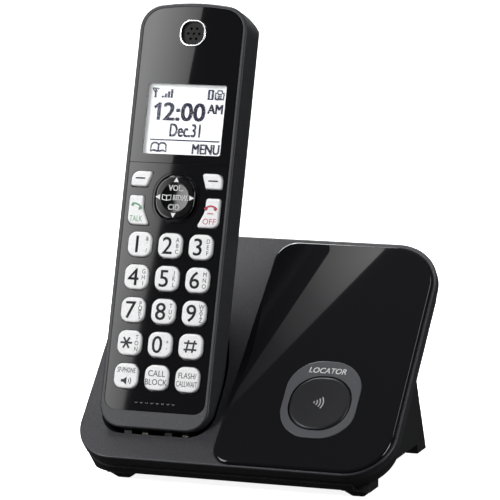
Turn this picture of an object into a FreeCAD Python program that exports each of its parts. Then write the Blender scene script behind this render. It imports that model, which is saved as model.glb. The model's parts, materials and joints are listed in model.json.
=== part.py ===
import FreeCAD, Part
import math
import os

# Cordless phone standing in its desk base: a leaning slab with a cradle well on the left, a
# gloss panel with a locator key on the right, and a slide-on desk stand behind.
# Frame: origin on the table under the middle of the footprint, +Y away from the user, +Z up.
# Slab coordinates: X across, V up the slab from its lower front edge, N out of its face.
# Handset coordinates: X across, U along the handset from its lower end, W out of its face.

# ---------------------------------------------------------------- base, driving sizes
BASE_WIDTH = 122.5
BASE_LENGTH = 101.5             # from V = 0 to the slab's top edge
SLAB_LIP = 1.6                  # how far the slab's lower edge reaches below V = 0
SLAB_THICKNESS = 11.2
SLAB_LEAN = 44.56               # degrees back from upright
SLAB_EDGE_HEIGHT = 11.58        # height of the slab's lower front edge above the table
CORNER_LEFT = 15.0
CORNER_RIGHT = 18.5
EDGE_ROUND = 0.75
FRONT_COVER_DEPTH = 4.0
COVER_SEAM = 0.3
REAR_STEP = 0.3                 # rear cover inside the front cover's edge, at the seam
REAR_TAPER = 2.2                # and at its back
BASE_WALL = 0.1786 * SLAB_THICKNESS
POD_START = 11.858              # the pod's depth beside what the leaning well asks of it
POD_LOW_Z = 3.2
POD_LEFT_INSET = 3.6
POD_RIGHT_INSET = 15.6
FOOT_INSET = 15.6
BOSS_FRONT_Y = 10.0             # the bosses that carry the front feet
BOSS_REAR_Y = 20.5
BOSS_LOW_Z = 2.2
BOSS_HALF = 5.4

# ---------------------------------------------------------------- desk stand
STAND_DEPTH = 99.1              # front edge to the heel of the stand
STAND_TOP_V = 86.0
STAND_FLANGE_V = 64.0
STAND_INSET = 15.0
STAND_WALL = 2.4
STAND_GAP = 0.3
STAND_TRAVEL = 10.0
LEG_WIDTH = 4.7
LEG_TOE_Y = 87.5
CHEEK_HEIGHT = 3.8
CORD_WINDOW_HEIGHT = 16.0
TAB_SPACING = 50.0
TAB_V = 78.0
TAB_NECK = 4.0
TAB_HEAD = 8.0
TAB_LENGTH = 6.0
PAD_THICKNESS = 1.5

# ---------------------------------------------------------------- sockets in the pod's rear face
LINE_JACK_X = 9.0
POWER_JACK_X = 28.5
JACK_LOW_Z = 6.2

# ---------------------------------------------------------------- gloss panel and locator key
PANEL_STRIP = 5.55              # matte strip between cradle well and gloss panel, at the top
PANEL_SLANT = 3.2               # how much further left the panel reaches at its lower end
PANEL_MARGIN_RIGHT = 1.3
PANEL_MARGIN_BOTTOM = 0.9
PANEL_MARGIN_TOP = 2.1
PANEL_RAISE = 1.2
PANEL_RECESS = 0.8
PANEL_ROUND = 1.1
PANEL_CORNER_RIGHT = 17.0
PANEL_CORNER_TOP = 8.5
PANEL_CORNER_LOW = 7.0
SCOOP_V = 45.5                  # middle of the shallow scoop in the panel's left edge
SCOOP_RADIUS = 155.0
SCOOP_WIDTH = 3.2
SCOOP_DROP = 1.0
LOCATOR_OFFSET = 1.15           # locator key right of the panel's middle
LOCATOR_V = 27.3
LOCATOR_SIZE = 23.0
LOCATOR_CORNER = 0.4565 * LOCATOR_SIZE
LOCATOR_TRAVEL = 0.8
SURROUND_HALF = LOCATOR_SIZE / 2.0 + 2.8
SURROUND_BELOW = LOCATOR_SIZE / 2.0 + 3.6
SURROUND_ABOVE = LOCATOR_SIZE / 2.0 + 6.9
SURROUND_CORNER = LOCATOR_CORNER + 1.9
SURROUND_RAISE = 0.4
SURROUND_RECESS = 0.7

# ---------------------------------------------------------------- handset
HANDSET_LENGTH = 161.4
HANDSET_WIDTH = 42.8
HANDSET_THICKNESS = 27.0
HANDSET_LEAN = 17.19            # degrees back from upright
HANDSET_SEAT_V = 10.44          # where its lower front edge lies on the slab
HANDSET_PROUD = 2.0             # and how far in front of the slab's face
FRAME_DEPTH = 12.7
HANDSET_WALL = 1.8
CORNER_TOP = 9.5
CORNER_TOP_BACK = 18.0          # the top corners grow rounder towards the back
CORNER_TURN_W = -6.0            # starting here
CORNER_TURN_STEPS = 4
CORNER_TURN_POWER = 2.2         # slowly at first, then faster
CORNER_BOTTOM = 8.5
CORNER_BACK = 16.0
HEEL_ROUND = 8.0
CROWN_ROUND = 15.0
TOP_ARCH = 2.8
ARCH_RADIUS = 2.0               # radius of the domed top, in handset widths
ARCH_RADIUS_BACK = 0.5
RIM_ROUND = 0.8
PANEL_SINK = 0.3
PANEL_THICKNESS = 1.5
LEDGE_THICKNESS = 1.5
LEDGE_WIDTH = 1.3
FACE_MARGIN = 1.6               # matte rim beside the gloss face
FACE_TOP_MARGIN = 1.5
FACE_CHIN = 6.5
FACE_CORNER_TOP = 7.9
FACE_CORNER_BOTTOM = 4.5
FACE_SEAM_U = 0.6159 * HANDSET_LENGTH
SEAM_GAP = 0.2
FIT_GAP = 0.1

# ---------------------------------------------------------------- cradle well
WELL_GAP = 1.0
WELL_FLOOR_GAP = 2.0
WELL_WALL = 1.6
CRADLE_MARGIN = 7.2             # slab edge to the well
CONTACT_SPACING = 16.0
CONTACT_DEPTH = 16.0            # behind the handset's face
SEAT_GAP = 0.2

# ---------------------------------------------------------------- keys, display, earpiece
KEY_SIZE = 9.4
KEY_CORNER = 3.2
KEY_PITCH_X = 12.07
KEY_PITCH_U = 0.0764 * HANDSET_LENGTH
KEY_ROW_U = 0.118 * HANDSET_LENGTH
KEY_GAP = 0.3
KEY_PROUD = 0.8
KEY_ROUND = 0.7
KEY_SKIRT = 0.8
KEY_TRAVEL = 0.5
NAV_U = 0.5353 * HANDSET_LENGTH
NAV_WIDTH = 15.8
NAV_HEIGHT = 0.1041 * HANDSET_LENGTH
NAV_CORNER = 0.43 * NAV_HEIGHT
NAV_GAP = 0.6
SOFT_OUTER_X = 18.0
SOFT_INNER_X = 9.7
SOFT_LOW_U = 0.5582 * HANDSET_LENGTH
SOFT_HIGH_U = 0.5942 * HANDSET_LENGTH
CALL_OUTER_X = 18.0
CALL_LOW_U = 0.4684 * HANDSET_LENGTH
CALL_HIGH_U = 0.5372 * HANDSET_LENGTH
DISPLAY_WIDTH = 31.2
DISPLAY_LOW_U = 0.6369 * HANDSET_LENGTH
DISPLAY_HIGH_U = 0.8024 * HANDSET_LENGTH
EAR_U = 0.9238 * HANDSET_LENGTH
EAR_SIZE = 10.4
EAR_RING = 0.65
MIC_U = FACE_CHIN + 3.5
MIC_PITCH = 2.1
MIC_COUNT = 8
SPEAKER_U = 0.7931 * HANDSET_LENGTH  # loudspeaker and its slots, at the back

# ---------------------------------------------------------------- battery
CELL_DIAMETER = 10.4
CELL_LENGTH = 44.0
CELL_LOW_U = 20.0
COVER_LOW_U = 12.0
COVER_HIGH_U = 78.0
COVER_SKIN = 1.5
COVER_GAP = 0.3
COVER_SIDE_W = 16.0
COVER_TRAVEL = 7.0

FAR = 200.0
V = FreeCAD.Vector

# ---------------------------------------------------------------- sizes that follow
PITCH = 90.0 - SLAB_LEAN
POD_DEPTH = POD_START + 1.53 * HANDSET_THICKNESS - 0.64 * SLAB_THICKNESS
COS_P = math.cos(math.radians(PITCH))
SIN_P = math.sin(math.radians(PITCH))
FRONT_Y = EDGE_ROUND * (COS_P + SIN_P - 1.0) - SLAB_LIP * COS_P
CENTRE_Y = (FRONT_Y + STAND_DEPTH) / 2.0
HANDSET_X = -BASE_WIDTH / 2.0 + CRADLE_MARGIN + WELL_GAP + HANDSET_WIDTH / 2.0
WELL_RIGHT = HANDSET_X + HANDSET_WIDTH / 2.0 + WELL_GAP
PANEL_LEFT = WELL_RIGHT + PANEL_STRIP
PANEL_RIGHT = BASE_WIDTH / 2.0 - PANEL_MARGIN_RIGHT
PANEL_TOP = BASE_LENGTH - PANEL_MARGIN_TOP
LOCATOR_X = (PANEL_LEFT + PANEL_RIGHT) / 2.0 + LOCATOR_OFFSET
POD_LEFT = -BASE_WIDTH / 2.0 + POD_LEFT_INSET
POD_RIGHT = BASE_WIDTH / 2.0 - POD_RIGHT_INSET
STAND_HALF = BASE_WIDTH / 2.0 - STAND_INSET
BOARD_N = -SLAB_THICKNESS + BASE_WALL + 3.2
BOARD_THICKNESS = 1.6
FACE_HALF = HANDSET_WIDTH / 2.0 - FACE_MARGIN
PANEL_BACK = -PANEL_SINK - PANEL_THICKNESS
LEDGE_BACK = PANEL_BACK - LEDGE_THICKNESS - FIT_GAP
PCB_W = -5.1
PCB_THICKNESS = 1.2
INNER_BACK = -HANDSET_THICKNESS + HANDSET_WALL


# ---------------------------------------------------------------- general helpers
def outline(points):
    """Closed face through (x, y, corner radius) points, in the XY plane."""
    edges = []
    ends = []
    count = len(points)
    for i in range(count):
        here = V(points[i][0], points[i][1], 0)
        before = V(points[i - 1][0], points[i - 1][1], 0)
        after = V(points[(i + 1) % count][0], points[(i + 1) % count][1], 0)
        radius = points[i][2]
        to_before = (before - here).normalize()
        to_after = (after - here).normalize()
        half = to_before.getAngle(to_after) / 2.0
        if radius <= 0:
            ends.append((here, here))
            continue
        reach = radius / math.tan(half)
        start = here + to_before * reach
        end = here + to_after * reach
        bisector = (to_before + to_after).normalize()
        centre = here + bisector * (radius / math.sin(half))
        edges.append(Part.Arc(start, centre - bisector * radius, end).toShape())
        ends.append((start, end))
    for i in range(count):
        start = ends[i][1]
        end = ends[(i + 1) % count][0]
        if start.distanceToPoint(end) > 1e-6:
            edges.append(Part.LineSegment(start, end).toShape())
    wire = Part.Wire(Part.__sortEdges__(edges))
    return Part.Face(wire)


def rectangle(x0, y0, x1, y1, radius=0.0):
    """Rectangle face with one corner radius."""
    return outline([(x0, y0, radius), (x1, y0, radius), (x1, y1, radius), (x0, y1, radius)])


def plate(face, low, high):
    """Face extruded between two heights."""
    moved = face.copy()
    moved.translate(V(0, 0, low))
    return moved.extrude(V(0, 0, high - low))


def block(x0, x1, y0, y1, z0, z1):
    return Part.makeBox(x1 - x0, y1 - y0, z1 - z0, V(x0, y0, z0))


def across(face, x0, x1):
    """Profile drawn as (y, z), extruded from x0 to x1."""
    turned = face.copy()
    turned.Placement = FreeCAD.Placement(V(x0, 0, 0), FreeCAD.Rotation(V(1, 1, 1), 120))
    return turned.extrude(V(x1 - x0, 0, 0))


def along(face, y0, y1):
    """Section drawn as (x, z), extruded from y0 to y1."""
    turned = face.copy()
    turned.Placement = FreeCAD.Placement(V(0, y0, 0), FreeCAD.Rotation(V(1, 0, 0), 90))
    return turned.extrude(V(0, y1 - y0, 0))


def rod(radius, x, y, z0, z1):
    return Part.makeCylinder(radius, z1 - z0, V(x, y, z0))


def round_rim(shape, height, radius):
    """Fillet every edge that lies at one height."""
    rim = []
    for edge in shape.Edges:
        box = edge.BoundBox
        if abs(box.ZMin - height) < 1e-4 and abs(box.ZMax - height) < 1e-4:
            rim.append(edge)
    return shape.makeFillet(radius, rim)


def slab_place():
    turn = FreeCAD.Rotation(V(1, 0, 0), PITCH)
    return FreeCAD.Placement(V(0, -CENTRE_Y, SLAB_EDGE_HEIGHT), turn)


def handset_place():
    seat = slab_place().multVec(V(HANDSET_X, HANDSET_SEAT_V, HANDSET_PROUD))
    return FreeCAD.Placement(seat, FreeCAD.Rotation(V(1, 0, 0), 90.0 - HANDSET_LEAN))


def on_slab(shape):
    moved = shape.copy()
    moved.Placement = slab_place().multiply(moved.Placement)
    return moved


def on_handset(shape):
    moved = shape.copy()
    moved.Placement = handset_place().multiply(moved.Placement)
    return moved


def on_table(shape):
    """From the front edge of the footprint to the row's frame."""
    moved = shape.copy()
    moved.translate(V(0, -CENTRE_Y, 0))
    return moved


def slab_yz(v, n):
    """A slab point as (y from the slab's front edge, z)."""
    return v * COS_P - n * SIN_P, SLAB_EDGE_HEIGHT + v * SIN_P + n * COS_P


def rear_plane_z(y, n):
    """Height of the plane N = n of the slab, at a given y."""
    return SLAB_EDGE_HEIGHT + (n + y * SIN_P) / COS_P


def save(name, shape):
    shape = shape.removeSplitter()
    if not shape.isValid():
        raise ValueError("invalid solid: " + name)
    if len(shape.Solids) == 0:
        raise ValueError("empty node: " + name)
    shape.exportStep(os.path.join("parts", name + ".step"))


def save_group(name, shapes):
    Part.makeCompound(shapes).exportStep(os.path.join("parts", name + ".step"))


# ---------------------------------------------------------------- base shells
def slab_outline(inset):
    half = BASE_WIDTH / 2.0 - inset
    left = CORNER_LEFT - inset
    right = CORNER_RIGHT - inset
    low = inset - SLAB_LIP
    top = BASE_LENGTH - inset
    return outline([(-half, low, left), (half, low, right), (half, top, right), (-half, top, left)])


def slab_taper(inset, low, high):
    """The rear cover's drafted form between two heights, in by an inset."""
    run = (REAR_TAPER - REAR_STEP) / (SLAB_THICKNESS - FRONT_COVER_DEPTH)
    wires = []
    for n in (low, high):
        face = slab_outline(inset + REAR_STEP - run * (n + FRONT_COVER_DEPTH))
        face.translate(V(0, 0, n))
        wires.append(face.OuterWire)
    return Part.makeLoft(wires, True, True)


def handset_envelope(grow, bottom, top, front):
    """The handset's outer form, grown sideways and back, between two ends along U."""
    half = HANDSET_WIDTH / 2.0 + grow
    back = -HANDSET_THICKNESS - grow
    low = -bottom
    high = HANDSET_LENGTH + top
    stations = [(front, 0.0)]
    for k in range(CORNER_TURN_STEPS + 1):
        share = k / CORNER_TURN_STEPS
        stations.append((CORNER_TURN_W + (back - CORNER_TURN_W) * share, share ** CORNER_TURN_POWER))
    wires = []
    for w, turned in stations:
        corner = CORNER_TOP + (CORNER_TOP_BACK - CORNER_TOP) * turned
        arch = ARCH_RADIUS + (ARCH_RADIUS_BACK - ARCH_RADIUS) * turned
        face = outline([(-half, low, CORNER_BOTTOM + grow), (half, low, CORNER_BOTTOM + grow),
                        (half, high - TOP_ARCH, corner + grow), (0, high, arch * HANDSET_WIDTH),
                        (-half, high - TOP_ARCH, corner + grow)])
        face.translate(V(0, 0, w))
        wires.append(face.OuterWire)
    section = outline([(-half, back, CORNER_BACK + grow), (half, back, CORNER_BACK + grow),
                       (half, front, 0), (-half, front, 0)])
    side = outline([(low, back, HEEL_ROUND + grow), (high, back, CROWN_ROUND + grow),
                    (high, front, 0), (low, front, 0)])
    body = Part.makeLoft(wires, True, True)
    body = body.common(along(section, low, high))
    return body.common(across(side, -half, half))


def well_space():
    """The room the handset needs in the base, open upwards and to the front."""
    return on_handset(handset_envelope(WELL_GAP, WELL_FLOOR_GAP, HANDSET_LENGTH, SLAB_THICKNESS))


def panel_outline(inset):
    left_low = PANEL_LEFT - PANEL_SLANT + inset
    left_high = PANEL_LEFT + inset
    low = PANEL_MARGIN_BOTTOM - SLAB_LIP + inset
    return outline([(left_low, low, PANEL_CORNER_LOW), (PANEL_RIGHT - inset, low, PANEL_CORNER_RIGHT),
                    (PANEL_RIGHT - inset, PANEL_TOP - inset, PANEL_CORNER_RIGHT),
                    (left_high, PANEL_TOP - inset, PANEL_CORNER_TOP)])


def locator_outline(grow):
    half = LOCATOR_SIZE / 2.0 + grow
    return rectangle(LOCATOR_X - half, LOCATOR_V - half, LOCATOR_X + half, LOCATOR_V + half,
                     LOCATOR_CORNER + grow)


def surround_outline(grow):
    half = SURROUND_HALF + grow
    corner = SURROUND_CORNER + grow
    return rectangle(LOCATOR_X - half, LOCATOR_V - SURROUND_BELOW - grow, LOCATOR_X + half,
                     LOCATOR_V + SURROUND_ABOVE + grow, corner)


def screw_places():
    side = BASE_WIDTH / 2.0 - 10.4
    return [(-side, TAB_V), (side, TAB_V), (side, 20.0), (0.0, BASE_LENGTH - 11.4)]


def contact_places():
    return [-CONTACT_SPACING / 2.0, CONTACT_SPACING / 2.0]


def base_front_cover():
    shell = round_rim(plate(slab_outline(0.0), -FRONT_COVER_DEPTH, 0.0), 0.0, EDGE_ROUND)
    shell = shell.cut(plate(slab_outline(BASE_WALL), -FRONT_COVER_DEPTH - 1.0, -BASE_WALL))
    for x, v in screw_places():
        shell = shell.fuse(rod(3.0, x, v, -SLAB_THICKNESS + BASE_WALL + FIT_GAP, -BASE_WALL + 0.5))
    cover = on_slab(shell)
    inside = on_slab(plate(slab_outline(BASE_WALL), -FAR, -0.5))
    well = on_handset(handset_envelope(WELL_GAP + WELL_WALL, WELL_FLOOR_GAP + WELL_WALL,
                                       HANDSET_LENGTH, SLAB_THICKNESS))
    cover = cover.fuse(well.common(inside))
    cover = cover.cut(well_space())
    for x in contact_places():
        seat = block(x - 6.5, x - 3.5, -WELL_FLOOR_GAP - 0.5, -SEAT_GAP, -CONTACT_DEPTH - 4, -CONTACT_DEPTH + 6)
        cover = cover.fuse(on_handset(seat))
        slot = block(x - 1.7, x + 1.7, -FAR, -WELL_FLOOR_GAP + 1.0, -CONTACT_DEPTH - 2.1, -CONTACT_DEPTH + 2.1)
        cover = cover.cut(on_handset(slot))
    cover = cover.cut(on_slab(plate(panel_outline(-FIT_GAP), -PANEL_RECESS - FIT_GAP, 1.0)))
    cover = cover.cut(on_slab(plate(locator_outline(KEY_GAP), -SLAB_THICKNESS, 1.0)))
    for x, v in screw_places():
        cover = cover.cut(on_slab(rod(1.15, x, v, -SLAB_THICKNESS, -BASE_WALL - 0.8)))
    return cover


def pod_profile(inset):
    """Side view of the pod behind the slab, as (y, z)."""
    low = POD_LOW_Z + inset
    rear = POD_DEPTH - inset
    inside = -SLAB_THICKNESS + BASE_WALL + inset + 2.0
    top = rear_plane_z(rear, inside)
    return outline([((low - rear_plane_z(0.0, inside)) * COS_P / SIN_P, low, 0), (rear, low, 0), (rear, top, 0)])


def pod_solid(inset, left, right):
    body = on_table(across(pod_profile(inset), left + inset, right - inset))
    return body.common(on_slab(plate(slab_outline(inset + REAR_STEP), -FAR, -FRONT_COVER_DEPTH)))


def foot_places():
    return [FOOT_INSET - BASE_WIDTH / 2.0, BASE_WIDTH / 2.0 - FOOT_INSET]


def base_rear_cover():
    top = -FRONT_COVER_DEPTH - COVER_SEAM
    tray = on_slab(slab_taper(0.0, -SLAB_THICKNESS, top))
    tray = tray.fuse(pod_solid(0.0, POD_LEFT, POD_RIGHT))
    inside = 1.0 - SLAB_THICKNESS
    boss = outline([(BOSS_FRONT_Y, BOSS_LOW_Z, 0), (BOSS_REAR_Y, BOSS_LOW_Z, 0),
                    (BOSS_REAR_Y, rear_plane_z(BOSS_REAR_Y, inside), 0),
                    (BOSS_FRONT_Y, rear_plane_z(BOSS_FRONT_Y, inside), 0)])
    for x in foot_places():
        tray = tray.fuse(on_table(across(boss, x - BOSS_HALF, x + BOSS_HALF)))
    hollow = on_slab(slab_taper(BASE_WALL, -SLAB_THICKNESS + BASE_WALL, 0.0))
    hollow = hollow.fuse(pod_solid(BASE_WALL, POD_LEFT, POD_RIGHT))
    tray = tray.cut(hollow)
    tray = tray.cut(on_slab(block(-FAR, FAR, -FAR, FAR, top, FAR)))
    for x, v in screw_places():
        tray = tray.cut(on_slab(rod(1.4, x, v, -SLAB_THICKNESS - 1.0, 0.0)))
        tray = tray.cut(on_slab(rod(2.7, x, v, -SLAB_THICKNESS - 1.0, -SLAB_THICKNESS + 1.3)))
    for x in (-TAB_SPACING / 2.0, TAB_SPACING / 2.0):
        tray = tray.cut(on_slab(tab_slot(x)))
    return tray.cut(jack_windows())


def tab_slot(x):
    """Keyhole slot: narrow where the tab locks, wide where its head goes in."""
    reach = TAB_LENGTH / 2.0 + COVER_GAP
    neck = TAB_NECK / 2.0 + COVER_GAP
    head = TAB_HEAD / 2.0 + COVER_GAP
    entry = TAB_V - STAND_TRAVEL
    floor = -SLAB_THICKNESS - 1.0
    roof = -SLAB_THICKNESS + BASE_WALL + 1.0
    narrow = block(x - neck, x + neck, entry, TAB_V + reach, floor, roof)
    wide = block(x - head, x + head, entry - reach, entry + reach, floor, roof)
    return narrow.fuse(wide)


def jack_windows():
    line = block(LINE_JACK_X - 7.1, LINE_JACK_X + 7.1, POD_DEPTH - 5, POD_DEPTH + 5,
                 JACK_LOW_Z - 0.1, JACK_LOW_Z + 12.1)
    power = block(POWER_JACK_X - 4.6, POWER_JACK_X + 4.6, POD_DEPTH - 5, POD_DEPTH + 5,
                  JACK_LOW_Z - 0.1, JACK_LOW_Z + 11.1)
    return on_table(line.fuse(power))


def line_jack():
    """Square telephone-line socket, mouth in the pod's rear face."""
    body = block(LINE_JACK_X - 7, LINE_JACK_X + 7, POD_DEPTH - 17, POD_DEPTH, JACK_LOW_Z, JACK_LOW_Z + 12)
    mouth = block(LINE_JACK_X - 4.95, LINE_JACK_X + 4.95, POD_DEPTH - 12, POD_DEPTH + 1,
                  JACK_LOW_Z + 2.0, JACK_LOW_Z + 8.9)
    latch = block(LINE_JACK_X - 3.1, LINE_JACK_X + 3.1, POD_DEPTH - 12, POD_DEPTH + 1,
                  JACK_LOW_Z + 8.0, JACK_LOW_Z + 10.3)
    return on_table(body.cut(mouth).cut(latch))


def power_jack():
    """Round low-voltage socket with its centre pin."""
    body = block(POWER_JACK_X - 4.5, POWER_JACK_X + 4.5, POD_DEPTH - 15, POD_DEPTH, JACK_LOW_Z, JACK_LOW_Z + 11)
    centre = JACK_LOW_Z + 5.5
    hole = Part.makeCylinder(2.75, 10, V(POWER_JACK_X, POD_DEPTH - 9.5, centre), V(0, 1, 0))
    pin = Part.makeCylinder(1.0, 8.5, V(POWER_JACK_X, POD_DEPTH - 10.0, centre), V(0, 1, 0))
    return on_table(body.cut(hole).fuse(pin))


def jack_board():
    back = POD_DEPTH - 17.0
    board = block(LINE_JACK_X - 11, POWER_JACK_X + 8, back - BOARD_THICKNESS, back, 5.6, JACK_LOW_Z + 12)
    legs = block(POWER_JACK_X - 3, POWER_JACK_X + 3, back, back + 2.0, JACK_LOW_Z + 1, JACK_LOW_Z + 9)
    return on_table(board.fuse(legs))


def base_circuit_board():
    left = WELL_RIGHT + WELL_WALL + 2.0
    right = BASE_WIDTH / 2.0 - 15.4
    board = plate(rectangle(left, 12.0, right, 84.0, 2.0), BOARD_N - BOARD_THICKNESS, BOARD_N)
    chips = block(left + 8, left + 17, 62, 71, BOARD_N, BOARD_N + 1.2)
    return on_slab(board.fuse(chips))


def base_shield_can():
    x0 = LOCATOR_X - 12.0
    can = block(x0, x0 + 24, 54, 78, BOARD_N, BOARD_N + 2.8)
    return on_slab(can.cut(block(x0 + 0.4, x0 + 23.6, 54.4, 77.6, BOARD_N - 1, BOARD_N + 2.4)))


def base_antennas():
    pieces = []
    for x in (WELL_RIGHT + 8.0, BASE_WIDTH / 2.0 - 30.0):
        foot = block(x, x + 10, 80, 80.5, BOARD_N, BOARD_N + 3.0)
        arm = block(x, x + 10, 80, 83.5, BOARD_N + 2.6, BOARD_N + 3.0)
        pieces.append(on_slab(foot.fuse(arm)))
    return pieces


def base_screws():
    pieces = []
    for x, v in screw_places():
        head = rod(2.4, x, v, -SLAB_THICKNESS + 0.1, -SLAB_THICKNESS + 1.3)
        shank = rod(1.1, x, v, -SLAB_THICKNESS + 1.0, -FRONT_COVER_DEPTH)
        cross = block(x - 1.4, x + 1.4, v - 0.3, v + 0.3, -SLAB_THICKNESS, -SLAB_THICKNESS + 0.8)
        cross = cross.fuse(block(x - 0.3, x + 0.3, v - 1.4, v + 1.4, -SLAB_THICKNESS, -SLAB_THICKNESS + 0.8))
        pieces.append(on_slab(head.fuse(shank).cut(cross)))
    return pieces


def base_charge_contacts():
    """Two spring leaves that reach up through the well's floor."""
    pieces = []
    for x in contact_places():
        leaf = block(x - 1.2, x + 1.2, -7.0, -SEAT_GAP - 0.1, -CONTACT_DEPTH - 1.5, -CONTACT_DEPTH + 1.5)
        leaf = leaf.cut(block(x - 2, x + 2, -6.4, -SEAT_GAP - 0.7, -CONTACT_DEPTH - 0.9, -CONTACT_DEPTH + 3))
        pieces.append(on_handset(leaf))
    return pieces


def front_feet():
    pieces = []
    for x in foot_places():
        low = outline([(x - 2.4, 12.5, 1.0), (x + 2.4, 12.5, 1.0), (x + 2.4, 17.5, 1.0), (x - 2.4, 17.5, 1.0)])
        high = outline([(x - 5.2, 10.2, 1.5), (x + 5.2, 10.2, 1.5), (x + 5.2, 20.2, 1.5), (x - 5.2, 20.2, 1.5)])
        high.translate(V(0, 0, 2.2))
        pieces.append(on_table(Part.makeLoft([low.OuterWire, high.OuterWire], True, True)))
    return pieces


def panel_scoop():
    """A wide cone that shaves a slender sloping crescent off the panel's left edge."""
    height = PANEL_TOP + SLAB_LIP - PANEL_MARGIN_BOTTOM
    turn = math.atan2(PANEL_SLANT, height)
    edge = PANEL_LEFT - PANEL_SLANT * (PANEL_TOP - SCOOP_V) / height
    reach = SCOOP_RADIUS - SCOOP_WIDTH
    centre = V(edge - reach * math.cos(turn), SCOOP_V + reach * math.sin(turn), PANEL_RAISE - SCOOP_DROP)
    above = 0.5
    slope = SCOOP_WIDTH / SCOOP_DROP
    return Part.makeCone(reach, SCOOP_RADIUS + above * slope, SCOOP_DROP + above, centre, V(0, 0, 1))


def gloss_panel():
    panel = round_rim(plate(panel_outline(0.0), -PANEL_RECESS, PANEL_RAISE), PANEL_RAISE, PANEL_ROUND)
    panel = panel.cut(panel_scoop())
    recess = plate(surround_outline(FIT_GAP), PANEL_RAISE - SURROUND_RECESS, PANEL_RAISE + 1.0)
    hole = plate(locator_outline(KEY_GAP), -5.0, 5.0)
    return on_slab(panel.cut(recess).cut(hole))


def locator_surround():
    low = PANEL_RAISE - SURROUND_RECESS + 0.02
    high = PANEL_RAISE + SURROUND_RAISE
    ring = round_rim(plate(surround_outline(0.0), low, high), high, 0.35)
    return on_slab(ring.cut(plate(locator_outline(KEY_GAP), -5.0, 5.0)))


def locator_key():
    high = PANEL_RAISE + SURROUND_RAISE + 0.3
    under = -BASE_WALL - COVER_GAP
    cap = round_rim(plate(locator_outline(0.0), under - 1.0, high), high, 1.2)
    flange = plate(locator_outline(1.2), under - 1.0, under)
    stem = rod(2.0, LOCATOR_X, LOCATOR_V, BOARD_N + 1.7, under)
    return on_slab(cap.fuse(flange).fuse(stem))


def locator_switch():
    body = block(LOCATOR_X - 3, LOCATOR_X + 3, LOCATOR_V - 3, LOCATOR_V + 3, BOARD_N, BOARD_N + 0.5)
    return on_slab(body.fuse(rod(1.5, LOCATOR_X, LOCATOR_V, BOARD_N, BOARD_N + 0.8)))


# ---------------------------------------------------------------- desk stand
def stand_rear_line():
    """Upper and lower ends of the stand's rear face, as (y, z)."""
    return slab_yz(STAND_TOP_V, -SLAB_THICKNESS - STAND_GAP), (STAND_DEPTH, 0.0)


def rear_line_y(z, inward):
    top, heel = stand_rear_line()
    run = heel[0] - top[0]
    rise = top[1]
    slope = run / rise
    return heel[0] - z * slope - inward * math.hypot(1.0, slope)


def desk_stand():
    n0 = -SLAB_THICKNESS - STAND_GAP
    top = stand_rear_line()[0]
    flange = block(-STAND_HALF, STAND_HALF, STAND_FLANGE_V, STAND_TOP_V, n0 - STAND_WALL, n0)
    for x in (-TAB_SPACING / 2.0, TAB_SPACING / 2.0):
        neck = block(x - TAB_NECK / 2, x + TAB_NECK / 2, TAB_V - TAB_LENGTH / 2, TAB_V + TAB_LENGTH / 2,
                     n0 - 0.5, -SLAB_THICKNESS + BASE_WALL + COVER_GAP + 0.5)
        head = block(x - TAB_HEAD / 2, x + TAB_HEAD / 2, TAB_V - TAB_LENGTH / 2, TAB_V + TAB_LENGTH / 2,
                     -SLAB_THICKNESS + BASE_WALL + COVER_GAP, -SLAB_THICKNESS + BASE_WALL + 1.2)
        flange = flange.fuse(neck).fuse(head)
    stand = on_slab(flange)
    window = CORD_WINDOW_HEIGHT
    rear = outline([(rear_line_y(window, STAND_WALL), window, 0), (rear_line_y(window, 0), window, 0),
                    (top[0], top[1], 0), (rear_line_y(top[1] - 4, STAND_WALL), top[1] - 4, 0)])
    stand = stand.fuse(on_table(across(rear, -STAND_HALF, STAND_HALF)))
    front = POD_DEPTH + STAND_TRAVEL * COS_P + 1.5
    cheek = outline([(front, CHEEK_HEIGHT, 2.0), (rear_line_y(CHEEK_HEIGHT, 0), CHEEK_HEIGHT, 0),
                     (top[0], top[1], 0), (front, rear_plane_z(front, n0), 0)])
    leg_top = CORD_WINDOW_HEIGHT + 4.0
    leg = outline([(LEG_TOE_Y, PAD_THICKNESS, 0), (rear_line_y(PAD_THICKNESS, 0), PAD_THICKNESS, 0),
                   (rear_line_y(leg_top, 0), leg_top, 0), (rear_line_y(leg_top, 8.0), leg_top, 0)])
    for side in (-1, 1):
        outer = side * STAND_HALF
        inner = side * (STAND_HALF - STAND_WALL)
        low, high = min(outer, inner), max(outer, inner)
        stand = stand.fuse(on_table(across(cheek, low, high)))
        inner = side * (STAND_HALF - LEG_WIDTH)
        low, high = min(outer, inner), max(outer, inner)
        stand = stand.fuse(on_table(across(leg, low, high)))
    return stand


def stand_feet():
    pieces = []
    for side in (-1, 1):
        outer = side * STAND_HALF
        inner = side * (STAND_HALF - LEG_WIDTH)
        pad = outline([(LEG_TOE_Y, 0, 0), (STAND_DEPTH, 0, 0),
                       (rear_line_y(PAD_THICKNESS, 0), PAD_THICKNESS, 0), (LEG_TOE_Y, PAD_THICKNESS, 0)])
        pieces.append(on_table(across(pad, min(outer, inner), max(outer, inner))))
    return pieces


# ---------------------------------------------------------------- handset shells
def lens_outline(inset, low):
    half = FACE_HALF - inset
    high = HANDSET_LENGTH - FACE_TOP_MARGIN - inset
    corner = FACE_CORNER_TOP - inset
    shoulder = high - TOP_ARCH * half / (HANDSET_WIDTH / 2.0)
    return outline([(-half, low, 0.3), (half, low, 0.3), (half, shoulder, corner),
                    (0, high, ARCH_RADIUS * HANDSET_WIDTH), (-half, shoulder, corner)])


def keypad_outline(inset, high):
    half = FACE_HALF - inset
    low = FACE_CHIN + inset
    corner = max(FACE_CORNER_BOTTOM - inset, 0.5)
    return outline([(-half, low, corner), (half, low, corner), (half, high, 0.3), (-half, high, 0.3)])


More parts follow.
